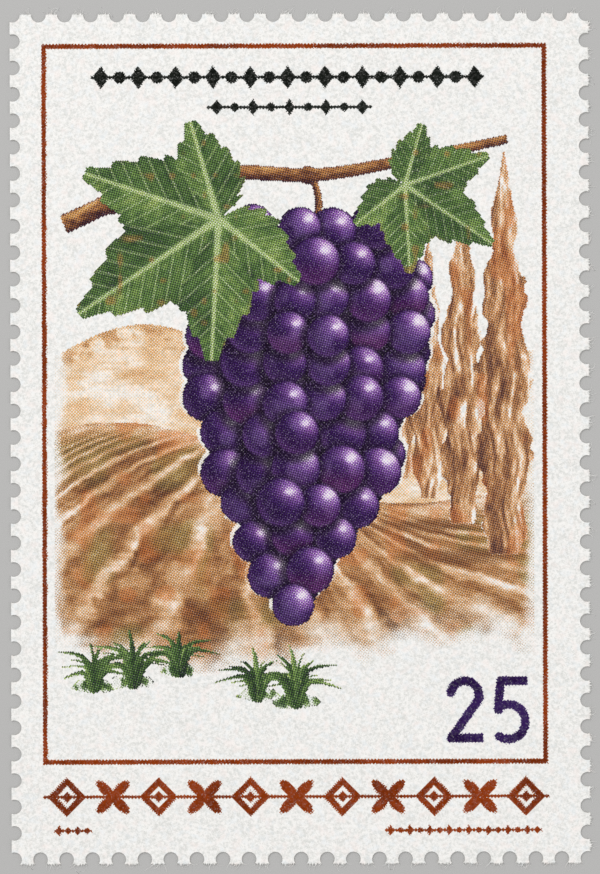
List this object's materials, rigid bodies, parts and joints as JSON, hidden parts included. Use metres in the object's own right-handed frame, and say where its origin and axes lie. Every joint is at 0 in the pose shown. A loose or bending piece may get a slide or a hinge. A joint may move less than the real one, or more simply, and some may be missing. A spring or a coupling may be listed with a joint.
{
  "type": "postage stamp",
  "caption": "Perforated postage stamp lying face up: gummed paper sheet with toothed edges and a thin printed picture of grapes inside a plain frame rule.",
  "frame": {"origin": "middle of the sheet, on the surface that the gummed back lies on", "axes": "+X to the stamp's right, +Y to its top, +Z out of the printed face"},
  "size_m": [0.0328, 0.0482, 0.0001],
  "materials": {
    "paper": "matt",
    "gum": "satin",
    "brick_ink": "matt",
    "dark_grey_ink": "matt",
    "violet_ink": "matt",
    "berry_ink": "matt",
    "leaf_ink": "matt",
    "wood_ink": "matt",
    "dark_ochre_ink": "matt",
    "ochre_ink": "matt",
    "pale_ochre_ink": "matt"
  },
  "bodies": {
    "root": {"gum_layer": "gum", "paper_sheet": "paper", "ink_frame_rule": "brick_ink", "ink_lower_band": "brick_ink", "ink_upper_band": "dark_grey_ink", "ink_short_band": "dark_grey_ink", "ink_left_marks": "brick_ink", "ink_right_marks": "brick_ink", "ink_numeral_2": "violet_ink", "ink_numeral_5": "violet_ink", "ink_leaf_big": "leaf_ink", "ink_leaf_small": "leaf_ink", "ink_bunch": "berry_ink", "ink_cane_1": "wood_ink", "ink_cane_2": "wood_ink", "ink_cane_3": "wood_ink", "ink_grass_1": "leaf_ink", "ink_grass_2": "leaf_ink", "ink_poplars": "dark_ochre_ink", "ink_near_hill": "ochre_ink", "ink_far_hill_1": "pale_ochre_ink", "ink_far_hill_2": "pale_ochre_ink", "ink_far_hill_3": "pale_ochre_ink"}
  },
  "joints": []
}
